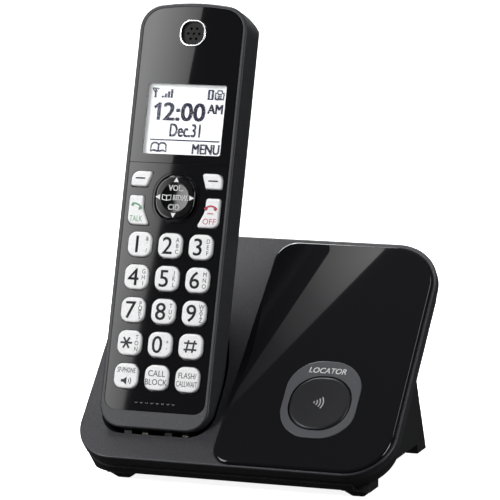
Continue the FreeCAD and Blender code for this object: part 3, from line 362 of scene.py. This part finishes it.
def curve_solid(curve):
    """The mesh that a curve or lettering makes, for printing."""
    holder = bpy.data.objects.new("mark", curve)
    bpy.context.collection.objects.link(holder)
    depsgraph = bpy.context.evaluated_depsgraph_get()
    mesh = bpy.data.meshes.new_from_object(holder.evaluated_get(depsgraph))
    bpy.data.objects.remove(holder)
    return mesh


CAPITAL_SHARE = 0.69
GLYPH_EXTRUDE = 0.02


def glyph_mesh(text, size, x, y, squeeze=1.0, align="CENTER", slant=0.0):
    """Lettering as a thin closed mesh, its capitals centred on (x, y), sizes in millimetres."""
    curve = bpy.data.curves.new("glyph", "FONT")
    curve.body = text
    curve.align_x = align
    curve.size = 1.0
    curve.shear = slant
    curve.extrude = GLYPH_EXTRUDE
    curve.resolution_u = 3
    mesh = curve_solid(curve)
    scale = size / CAPITAL_SHARE
    stretch = Matrix.Diagonal((scale * squeeze, scale, INK_FILM / (2 * GLYPH_EXTRUDE), 1))
    mesh.transform(Matrix.Translation((x, y - size / 2, 0)) @ stretch)
    return mesh


def bold(mesh, thick):
    """The same lettering made heavier, as four overlapping copies moved a little each way."""
    copies = []
    for dx, dy in ((-0.5, 0.25), (0.5, 0.25), (-0.5, -0.25), (0.5, -0.25)):
        shifted = mesh.copy()
        shifted.transform(Matrix.Translation((dx * thick, dy * thick, 0)))
        copies.append(shifted)
    return copies


def stroke_mesh(path, width):
    """A printed line of one width through (x, y) points, as a thin closed mesh."""
    curve = bpy.data.curves.new("stroke", "CURVE")
    curve.dimensions = "3D"
    curve.bevel_depth = width / 2
    curve.bevel_resolution = 1
    curve.use_fill_caps = True
    spline = curve.splines.new("POLY")
    spline.points.add(len(path) - 1)
    for point, (x, y) in zip(spline.points, path):
        point.co = (x, y, 0, 1)
    mesh = curve_solid(curve)
    mesh.transform(Matrix.Diagonal((1, 1, INK_FILM / width, 1)))
    return mesh


def patch_mesh(path):
    """A filled printed area inside (x, y) points, as a thin closed mesh."""
    low = [(x, y, -INK_FILM / 2) for x, y in path]
    high = [(x, y, INK_FILM / 2) for x, y in path]
    size = len(path)
    sides = [(i, (i + 1) % size, size + (i + 1) % size, size + i) for i in range(size)]
    mesh = bpy.data.meshes.new("patch")
    mesh.from_pydata(low + high, [], [tuple(range(size)), tuple(range(size, 2 * size))] + sides)
    return mesh


def printed(name, meshes, place, level, material, body):
    """Joins printed marks into one piece at a height over a local frame."""
    sheet = bmesh.new()
    for mesh in meshes:
        sheet.from_mesh(mesh)
    bmesh.ops.recalc_face_normals(sheet, faces=sheet.faces)
    joined = bpy.data.meshes.new(name)
    sheet.to_mesh(joined)
    sheet.free()
    joined.transform(place @ Matrix.Translation((0, 0, level)))
    made = bpy.data.objects.new(name, joined)
    bpy.context.collection.objects.link(made)
    joined.materials.append(material)
    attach(made, body)


ARC_STEPS = 10


def arc(cx, cy, radius, start, end):
    """Points along an arc, angles in degrees."""
    turns = [math.radians(start + (end - start) * k / ARC_STEPS) for k in range(ARC_STEPS + 1)]
    return [(cx + radius * math.cos(turn), cy + radius * math.sin(turn)) for turn in turns]


# White and grey print: flat tones, without shine, that stay readable on black.
white_ink = ink("white_print", "#e9e9ea", "#f7f7f7")
# The grey is real print on the locator key, and also the painted highlights along the lower rims of the
# microphone holes.
grey_ink_and_highlight = ink("grey_print_and_painted_highlight", "#8c8c92", "#a0a0a5")
LOCATOR_X = 29.275
LOCATOR_V = 27.3
SURROUND_TOP = 1.6
KEY_TOP = 1.9
word = glyph_mesh("LOCATOR", 2.3, LOCATOR_X - 0.2, LOCATOR_V + 14.2, 0.92, slant=0.18)
printed("locator_word", bold(word, 0.1), SLAB, SURROUND_TOP + INK_FILM / 2, white_ink, "base")
WAVE_FIRST = 0.8
WAVE_STEP = 1.15
WAVE_HALF_TURN = 34
WAVE_WIDTH = 0.5
wave_source = (LOCATOR_X - 2.8, LOCATOR_V)
waves = []
for k in range(4):
    crest = arc(*wave_source, WAVE_FIRST + WAVE_STEP * k, -WAVE_HALF_TURN, WAVE_HALF_TURN)
    waves.append(stroke_mesh(crest, WAVE_WIDTH))
printed("locator_waves", waves, SLAB, KEY_TOP + INK_FILM / 2, grey_ink_and_highlight, "locator_key")

# ================================================================ feet and desk stand
# The stand is the same black ABS as the rear cover, hooked into its two keyhole slots. The feet
# are soft black rubber, stuck on, and keep the base from sliding.

# Its grain is finer and shallower than the cover's, so the stand reads as flat and even.
abs_stand = moulded("black_abs_fine", "#1d1e1f", "#2a2b2c", 0.5, 0.35, 0.02)
dress(["desk_stand"], abs_stand)
# Black rubber: hardly any shine.
rubber = moulded("black_rubber", "#121213", "#1b1b1c", 0.75, 0.6, 0.03)
dress(["front_feet", "stand_feet"], rubber)

# ================================================================ boards, contacts, sockets, screws
# Both halves hold a green board with a tinned can and antennas; charge contacts are nickel-plated
# bronze and the screws zinc-plated steel. Little of it shows but the contacts and socket mouths.


def metal(name, colour, roughness, brush_mm):
    """Drawn or plated metal, its roughness uneven over a small distance."""
    made = new_material(name)
    tree = made.node_tree
    place = add(tree, "ShaderNodeTexCoord").outputs["Object"]
    streak = add(tree, "ShaderNodeTexNoise", {"Vector": place, "Scale": 1.0 / (brush_mm * MM),
                                              "Detail": 3.0})
    wear = add(tree, "ShaderNodeMapRange", {"Value": streak.outputs["Fac"], "To Min": roughness,
                                            "To Max": roughness + 0.15})
    skin = add(tree, "ShaderNodeBsdfPrincipled", {"Base Color": linear(colour), "Metallic": 1.0,
                                                  "Roughness": wear.outputs["Result"]})
    add(tree, "ShaderNodeOutputMaterial", {"Surface": skin.outputs["BSDF"]})
    return made


# Solder mask: a green lacquer with an even half gloss.
solder_mask = moulded("green_solder_mask", "#0f4a28", "#17603a", 0.35, 1.2, 0.01)
dress(["base_circuit_board", "jack_board", "handset_circuit_board"], solder_mask)
# Tinned steel: pale and a little cloudy.
tinned = metal("tinned_steel", "#b9b9b4", 0.3, 0.8)
dress(["base_shield_can", "base_antennas", "handset_shield_can", "handset_antenna",
       "battery_terminals"], tinned)
# Zinc plating: a cool, slightly bluish grey.
zinc = metal("zinc_plated_steel", "#a5a6a8", 0.32, 0.4)
dress(["base_screws", "handset_screws"], zinc)
# Nickel over bronze: a warm grey.
nickel = metal("nickel_plated_bronze", "#8f897d", 0.3, 0.5)
dress(["base_charge_contacts", "handset_charge_contacts"], nickel)
# Nylon: plain black with a dull sheen.
socket_black = moulded("black_nylon", "#141414", "#1d1d1d", 0.45, 0.4, 0.01)
dress(["power_jack", "line_jack", "locator_switch"], socket_black)

# ================================================================ handset shells
# Charcoal ABS with the same fine grain: a front frame, a rear cover and the sliding battery
# cover. The frame's rim and the chin below the keypad stay matt beside the gloss face.

# Its grain turns the light along the rounded sides into a soft grey band.
abs_handset = moulded("charcoal_abs_fine", "#212225", "#3c3d41", 0.45, 0.4, 0.04)
dress(["handset_frame", "handset_rear_cover", "battery_cover"], abs_handset)

# ================================================================ gloss face of the handset
# Two polished black parts meet at a fine seam under the display: the lens panel above and the
# keypad panel below. Both show hard reflections; the keypad panel's are a little softer.

# Polished black ABS again; the lens panel is near a mirror.
piano_face = gloss("piano_black_lens", "#131315", 0.008, 0.004)
dress(["lens_panel"], piano_face)
piano_keypad = gloss("piano_black_keypad", "#131315", 0.02, 0.004)
dress(["keypad_panel"], piano_keypad)

# Eight microphone holes lie in a row below the keypad. The lower rim of each catches the light, and a fine
# grey line drawn there is a painted highlight, not print.
MIC_U = 10.0
MIC_HOLES = 8
MIC_PITCH = 2.1
MIC_HIGHLIGHT_RADIUS = 0.5
MIC_HIGHLIGHT_WIDTH = 0.2
FACE_TOP = -0.3
mic_places = [(k - (MIC_HOLES - 1) / 2) * MIC_PITCH for k in range(MIC_HOLES)]
rim_highlights = [stroke_mesh(arc(x, MIC_U, MIC_HIGHLIGHT_RADIUS, 200, 340), MIC_HIGHLIGHT_WIDTH) for x in mic_places]
printed("mic_rim_highlights", rim_highlights, HANDSET, FACE_TOP + INK_FILM / 2, grey_ink_and_highlight, "handset")

# ================================================================ display
# A reflective liquid-crystal glass, pale grey-white, with segments of dark navy, behind a clear
# acrylic window. Time, date, a book for the directory and the menu word are all generic.

# Clear acrylic: almost unseen, but for a faint uneven haze.
HAZE_PATCH = 9.0
clear = new_material("clear_acrylic")
tree = clear.node_tree
place = add(tree, "ShaderNodeTexCoord").outputs["Object"]
dust = add(tree, "ShaderNodeTexNoise", {"Vector": place, "Scale": 1.0 / (HAZE_PATCH * MM), "Detail": 4.0})
veil = add(tree, "ShaderNodeMapRange", {"Value": dust.outputs["Fac"], "To Min": 0.02, "To Max": 0.06})
pane = add(tree, "ShaderNodeBsdfPrincipled", {"Base Color": linear("#fdfefe"), "IOR": 1.49,
                                              "Roughness": veil.outputs["Result"], "Transmission Weight": 1.0,
                                              "Alpha": 0.25})
add(tree, "ShaderNodeOutputMaterial", {"Surface": pane.outputs["BSDF"]})
dress(["display_window"], clear)

# The glass over its reflector: an even pale grey, with a faint painted glow from within that brightens it.
CLOUD_PATCH = 14.0
glass = new_material("liquid_crystal_glass")
tree = glass.node_tree
place = add(tree, "ShaderNodeTexCoord").outputs["Object"]
cloud = add(tree, "ShaderNodeTexNoise", {"Vector": place, "Scale": 1.0 / (CLOUD_PATCH * MM), "Detail": 2.0})
pale = add(tree, "ShaderNodeValToRGB", {"Fac": cloud.outputs["Fac"]})
pale.color_ramp.elements[0].color = linear("#eef0f0")
pale.color_ramp.elements[1].color = linear("#f8faf8")
cell = add(tree, "ShaderNodeBsdfPrincipled", {"Base Color": pale.outputs["Color"], "Roughness": 0.4,
                                              "Emission Color": linear("#f1f3f8"), "Emission Strength": 0.2})
add(tree, "ShaderNodeOutputMaterial", {"Surface": cell.outputs["BSDF"]})
dress(["display_module"], glass)
# White polycarbonate: a plain pale edge round the glass.
holder_plastic = moulded("white_polycarbonate", "#c9c9c9", "#d6d6d6", 0.5, 0.5, 0.01)
dress(["display_holder"], holder_plastic)

DISPLAY_LEFT = -15.6
DISPLAY_TOP = 129.5
GLASS_W = -2.1


def shown(x, y):
    """From millimetres right of and below the display's top left corner to handset X and U."""
    return DISPLAY_LEFT + x, DISPLAY_TOP - y


def shown_word(text, height, left, right, top, thick):
    """A word that fills the display between left and right, its capitals' tops at top."""
    raw = glyph_mesh(text, height, 0, 0, align="LEFT")
    low = min(v.co.x for v in raw.vertices)
    high = max(v.co.x for v in raw.vertices)
    squeeze = (right - left) / (high - low)
    x, y = shown(left, top + height / 2)
    fitted = Matrix.Diagonal((squeeze, 1, 1, 1)) @ Matrix.Translation((-low, 0, 0))
    raw.transform(Matrix.Translation((x, y, 0)) @ fitted)
    return bold(raw, thick)


def shown_line(points, width):
    """A line of even width on the display."""
    return stroke_mesh([shown(x, y) for x, y in points], width)


def shown_bar(left, right, top, bottom):
    """A filled upright rectangle on the display."""
    corners = ((left, bottom), (right, bottom), (right, top), (left, top))
    return patch_mesh([shown(x, y) for x, y in corners])


# A rule, the aerial's mast and cap, the book's spine and the battery's outline, then a narrow frame
# beside the battery, made of four bars.
segments = [
    shown_line([(2.2, 21.0), (29.9, 21.0)], 0.55),
    shown_line([(2.6, 1.5), (2.6, 5.1)], 0.9),
    shown_line([(1.3, 1.5), (3.9, 1.5), (2.6, 3.5), (1.3, 1.5)], 0.6),
    shown_line([(5.9, 22.6), (5.9, 25.4)], 0.8),
    shown_line([(26.5, 5.0), (26.5, 2.6), (27.3, 2.6), (27.3, 1.7), (29.0, 1.7), (29.0, 2.6),
                (29.8, 2.6), (29.8, 5.0), (26.5, 5.0)], 0.7),
    shown_bar(23.4, 24.3, 1.4, 5.3),
    shown_bar(24.9, 25.8, 1.4, 5.3),
    shown_bar(24.3, 24.9, 4.8, 5.3),
    shown_bar(24.3, 24.9, 1.4, 1.9),
]
# The first digit of the time is drawn as a shape, as the typeface's own is too slender.
one = ((3.9, 13.5), (5.4, 13.5), (5.4, 6.8), (4.3, 6.8), (2.4, 8.3), (3.0, 9.4), (3.9, 8.7))
segments.append(patch_mesh([shown(x, y) for x, y in one]))
segments += shown_word("2:00", 6.7, 6.6, 22.9, 6.8, 0.6)
segments += shown_word("AM", 3.5, 24.0, 29.8, 7.0, 0.38)
segments += shown_word("Dec.31", 4.9, 9.8, 21.8, 14.7, 0.34)
segments += shown_word("MENU", 3.7, 19.4, 30.0, 22.2, 0.36)
# Four signal bars, the two pages of the book, and three lines inside the battery mark.
for k in range(4):
    segments.append(shown_line([(5.5 + 1.2 * k, 5.0), (5.5 + 1.2 * k, 4.2 - 0.85 * k)], 1.0))
for side in (-1, 1):
    page = [(5.9, 22.9), (5.9 + side * 0.8, 22.2), (5.9 + side * 2.1, 22.2), (5.9 + side * 2.9, 22.9),
            (5.9 + side * 3.1, 25.4), (5.9 + side * 1.9, 25.0), (5.9, 25.4)]
    segments.append(shown_line(page, 0.8))
for k in range(3):
    segments.append(shown_line([(27.3, 4.4 - 0.65 * k), (29.0, 4.4 - 0.65 * k)], 0.5))
# Liquid-crystal segments: a very dark navy, flat.
navy = ink("navy_segments", "#25274a", "#1b1d3c")
printed("display_segments", segments, HANDSET, GLASS_W + INK_FILM / 2, navy, "handset")

# ================================================================ earpiece
# A bright chromium-plated ring pressed into the lens, round a dark grille. Sound comes out of a
# ring of small holes over the receiver capsule.

# Bright chromium: nearly a mirror, so a thin ring of it flashes white.
chrome = metal("bright_chromium", "#e9e9ec", 0.08, 2.0)
dress(["earpiece_ring"], chrome)
# The grille and the capsules are matt black nylon, darker than anything round them.
grille_black = moulded("black_nylon_matt", "#030304", "#060607", 0.6, 0.5, 0.01)
dress(["earpiece_grille"], grille_black)
capsule = moulded("black_nylon_dull", "#09090a", "#111112", 0.5, 0.6, 0.01)
dress(["receiver", "loudspeaker", "microphone"], capsule)

# ================================================================ keys
# Keys moulded in pearl-silver ABS with dark printed legends; the navigation key is polished
# black with white print. Every cap rides its own sprung body, and so does its print.

# Pearl ABS: pale, with a speckle of flakes and a soft sheen under a thin lacquer.
FLAKE_SPACING = 0.45
pearl = new_material("pearl_silver_abs")
tree = pearl.node_tree
place = add(tree, "ShaderNodeTexCoord").outputs["Object"]
flake = add(tree, "ShaderNodeTexVoronoi", {"Vector": place, "Scale": 1.0 / (FLAKE_SPACING * MM)})
shade = add(tree, "ShaderNodeValToRGB", {"Fac": flake.outputs["Color"]})
shade.color_ramp.elements[0].color = linear("#e6e6e7")
shade.color_ramp.elements[1].color = linear("#f7f7f8")
skin = add(tree, "ShaderNodeBsdfPrincipled", {"Base Color": shade.outputs["Color"], "Roughness": 0.38,
                                              "IOR": 1.5, "Coat Weight": 0.2, "Coat Roughness": 0.15})
add(tree, "ShaderNodeOutputMaterial", {"Surface": skin.outputs["BSDF"]})

KEY_PITCH_X = 12.07
KEY_PITCH_U = 12.33
KEY_ROW_U = 19.04
KEY_FACE = 0.8
# Black, green and red print, all matt.
dark_ink = ink("black_print", "#232326", "#303034")
green_ink = ink("green_print", "#5f9a78", "#76ab8b")
red_ink = ink("red_print", "#b2404f", "#bf5561")


def keyed(name, meshes, material):
    """Prints marks on a key's face and lets them ride with it."""
    printed("print_" + name, meshes, HANDSET, KEY_FACE + INK_FILM / 2, material, name)


LETTERS = {"key_1": ("1", "&'/"), "key_2": ("2", "ABC"), "key_3": ("3", "DEF"), "key_4": ("4", "GHI"),
           "key_5": ("5", "JKL"), "key_6": ("6", "MNO"), "key_7": ("7", "PQRS"), "key_8": ("8", "TUV"),
           "key_9": ("9", "WXYZ"), "key_star": ("*", "TON"), "key_0": ("0", "+-"), "key_hash": ("#", "")}
ROWS = (("speaker_key", "block_key", "flash_key"), ("key_star", "key_0", "key_hash"),
        ("key_7", "key_8", "key_9"), ("key_4", "key_5", "key_6"), ("key_1", "key_2", "key_3"))


def key_centre(name):
    """A keypad key's centre as X and U; rows count up from the lowest."""
    row = next(k for k, names in enumerate(ROWS) if name in names)
    column = ROWS[row].index(name)
    return (column - 1) * KEY_PITCH_X, KEY_ROW_U + row * KEY_PITCH_U


# The digit stands left of the middle of its key, with its letters in a column on the right. The star
# and the hash are drawn with strokes.
DIGIT_HEIGHT = 6.3
DIGIT_LEFT = 1.0
STAR_LEFT = 1.1
STAR_REACH = 2.3
STAR_WIDTH = 0.75
HASH_WIDTH = 0.7
HASH_REACH = 2.5
HASH_RISE = 2.3
HASH_LEAN = 0.4
HASH_GAP_HALF = 1.2
LETTER_HEIGHT = 1.65
LETTER_RIGHT = 2.9
LETTER_COLUMN = 6.6
for name, (digit, letters) in LETTERS.items():
    x, u = key_centre(name)
    meshes = []
    if digit == "*":
        for turn in (0, 60, 120):
            dx = STAR_REACH * math.cos(math.radians(turn))
            du = STAR_REACH * math.sin(math.radians(turn))
            ray = [(x - STAR_LEFT - dx, u - du), (x - STAR_LEFT + dx, u + du)]
            meshes.append(stroke_mesh(ray, STAR_WIDTH))
    elif digit == "#":
        for s in (-1, 1):
            level = u + s * HASH_GAP_HALF
            meshes.append(stroke_mesh([(x - HASH_REACH, level), (x + HASH_REACH, level)], HASH_WIDTH))
        for s in (-1, 1):
            foot = (x + s * HASH_GAP_HALF - HASH_LEAN, u - HASH_RISE)
            head = (x + s * HASH_GAP_HALF + HASH_LEAN, u + HASH_RISE)
            meshes.append(stroke_mesh([foot, head], HASH_WIDTH))
    else:
        meshes += bold(glyph_mesh(digit, DIGIT_HEIGHT, x - DIGIT_LEFT, u, 0.98), 0.12)
    step = LETTER_COLUMN / max(len(letters), 3)
    for k, letter in enumerate(letters):
        rise = step * ((len(letters) - 1) / 2 - k)
        meshes.append(glyph_mesh(letter, LETTER_HEIGHT, x + LETTER_RIGHT, u + rise, 0.85))
    keyed(name, meshes, dark_ink)
    dress([name], pearl)

x, u = key_centre("speaker_key")
marks = [glyph_mesh("SP-PHONE", 1.9, x + 0.1, u + 2.2, 0.57)]
marks.append(patch_mesh([(x - 1.7, u - 2.3), (x - 1.7, u - 1.3), (x - 0.8, u - 1.3), (x + 0.5, u - 0.3),
                         (x + 0.5, u - 3.3), (x - 0.8, u - 2.3)]))
marks += [stroke_mesh(arc(x + 0.4, u - 1.8, r, -40, 40), 0.3) for r in (1.0, 1.8)]
keyed("speaker_key", marks, dark_ink)
x, u = key_centre("block_key")
marks = [glyph_mesh("CALL", 2.2, x, u + 1.6, 0.9), glyph_mesh("BLOCK", 2.2, x, u - 1.6, 0.86)]
keyed("block_key", marks, dark_ink)
x, u = key_centre("flash_key")
marks = [glyph_mesh("FLASH/", 2.0, x, u + 1.5, 0.8), glyph_mesh("CALLWAIT", 2.0, x, u - 1.6, 0.58)]
keyed("flash_key", marks, dark_ink)
dress(["speaker_key", "block_key", "flash_key", "soft_key_left", "soft_key_right", "talk_key",
       "off_key"], pearl)

SOFT_X = 14.4
SOFT_U = 93.2
SOFT_DASH_HALF = 1.9
for side, name in ((-1, "soft_key_left"), (1, "soft_key_right")):
    dash = [(side * SOFT_X - SOFT_DASH_HALF, SOFT_U), (side * SOFT_X + SOFT_DASH_HALF, SOFT_U)]
    keyed(name, [stroke_mesh(dash, 0.55)], dark_ink)

# A lifted receiver over the word on the talk key, and one laid down over it on the off key.
marks = [
    stroke_mesh(arc(-15.8, 80.2, 3.4, 105, 30), 0.6),
    stroke_mesh([(-16.8, 83.4), (-15.9, 83.0)], 1.2),
    stroke_mesh([(-13.6, 82.2), (-13.1, 81.4)], 1.3),
    glyph_mesh("TALK", 2.2, -14.6, 77.9, 0.66),
]
keyed("talk_key", marks, green_ink)
marks = [
    stroke_mesh(arc(14.6, 80.9, 2.9, 140, 40), 0.7),
    stroke_mesh([(12.3, 82.4), (13.2, 83.2)], 1.2),
    stroke_mesh([(16.9, 82.4), (16.0, 83.2)], 1.2),
    stroke_mesh([(13.4, 81.0), (15.8, 81.0)], 0.4),
    glyph_mesh("OFF", 2.2, 14.4, 78.0, 0.95),
]
keyed("off_key", marks, red_ink)

# Polished black ABS, a little duller than the face round it, on a black pivot.
piano_nav = gloss("piano_black_nav", "#09090b", 0.05, 0.01)
dress(["nav_key"], piano_nav)
dress(["nav_key_pivot"], capsule)


def triangle(x, u, size, turn):
    """A filled arrow head, pointing up the handset and then turned, in degrees."""
    points = [(0.0, size), (-size * 0.9, -size * 0.6), (size * 0.9, -size * 0.6)]
    c = math.cos(math.radians(turn))
    s = math.sin(math.radians(turn))
    return patch_mesh([(x + px * c - py * s, u + px * s + py * c) for px, py in points])


NAV_TOP = 1.0
ARROW_OUT = 6.5
ARROW_SIZE = 1.1
nav_marks = [
    triangle(0, NAV_U + ARROW_OUT, ARROW_SIZE, 0),
    triangle(0, NAV_U - ARROW_OUT, ARROW_SIZE, 180),
    triangle(-ARROW_OUT, NAV_U, ARROW_SIZE, 90),
    triangle(ARROW_OUT, NAV_U, ARROW_SIZE, 270),
    stroke_mesh([(-4.9, NAV_U - 0.9), (-4.9, NAV_U + 0.9), (-3.2, NAV_U + 0.6), (-1.5, NAV_U + 0.9),
                 (-1.5, NAV_U - 0.9), (-3.2, NAV_U - 1.2), (-4.9, NAV_U - 0.9)], 0.35),
    stroke_mesh([(-3.2, NAV_U + 0.6), (-3.2, NAV_U - 1.2)], 0.35),
]
nav_marks += bold(glyph_mesh("VOL.", 2.1, 0.2, NAV_U + 3.6, 0.9), 0.16)
nav_marks += bold(glyph_mesh("CID", 2.1, 0, NAV_U - 3.6, 0.9), 0.16)
nav_marks += bold(glyph_mesh("REDIAL", 1.9, 2.3, NAV_U, 0.66), 0.2)
printed("print_nav_key", nav_marks, HANDSET, NAV_TOP, white_ink, "nav_key")

# ================================================================ under the keys, and the cells
# A grey silicone mat with a polyester dome sheet under it carries the keys. Two rechargeable
# cells in green sleeves lie between sprung terminals under the battery cover.

# Silicone: a matt rubbery grey.
silicone = moulded("grey_silicone", "#77787a", "#828385", 0.7, 0.8, 0.02)
dress(["key_mat"], silicone)
# Polyester film: a pale, yellowish half gloss.
film = moulded("polyester_film", "#a8a69a", "#b5b3a8", 0.4, 2.0, 0.005)
dress(["dome_sheet"], film)
# Shrink sleeve: a shiny green film drawn tight round each cell.
sleeve = moulded("green_shrink_sleeve", "#1e6b34", "#2a7c42", 0.3, 3.0, 0.01)
dress(["battery_cells"], sleeve)
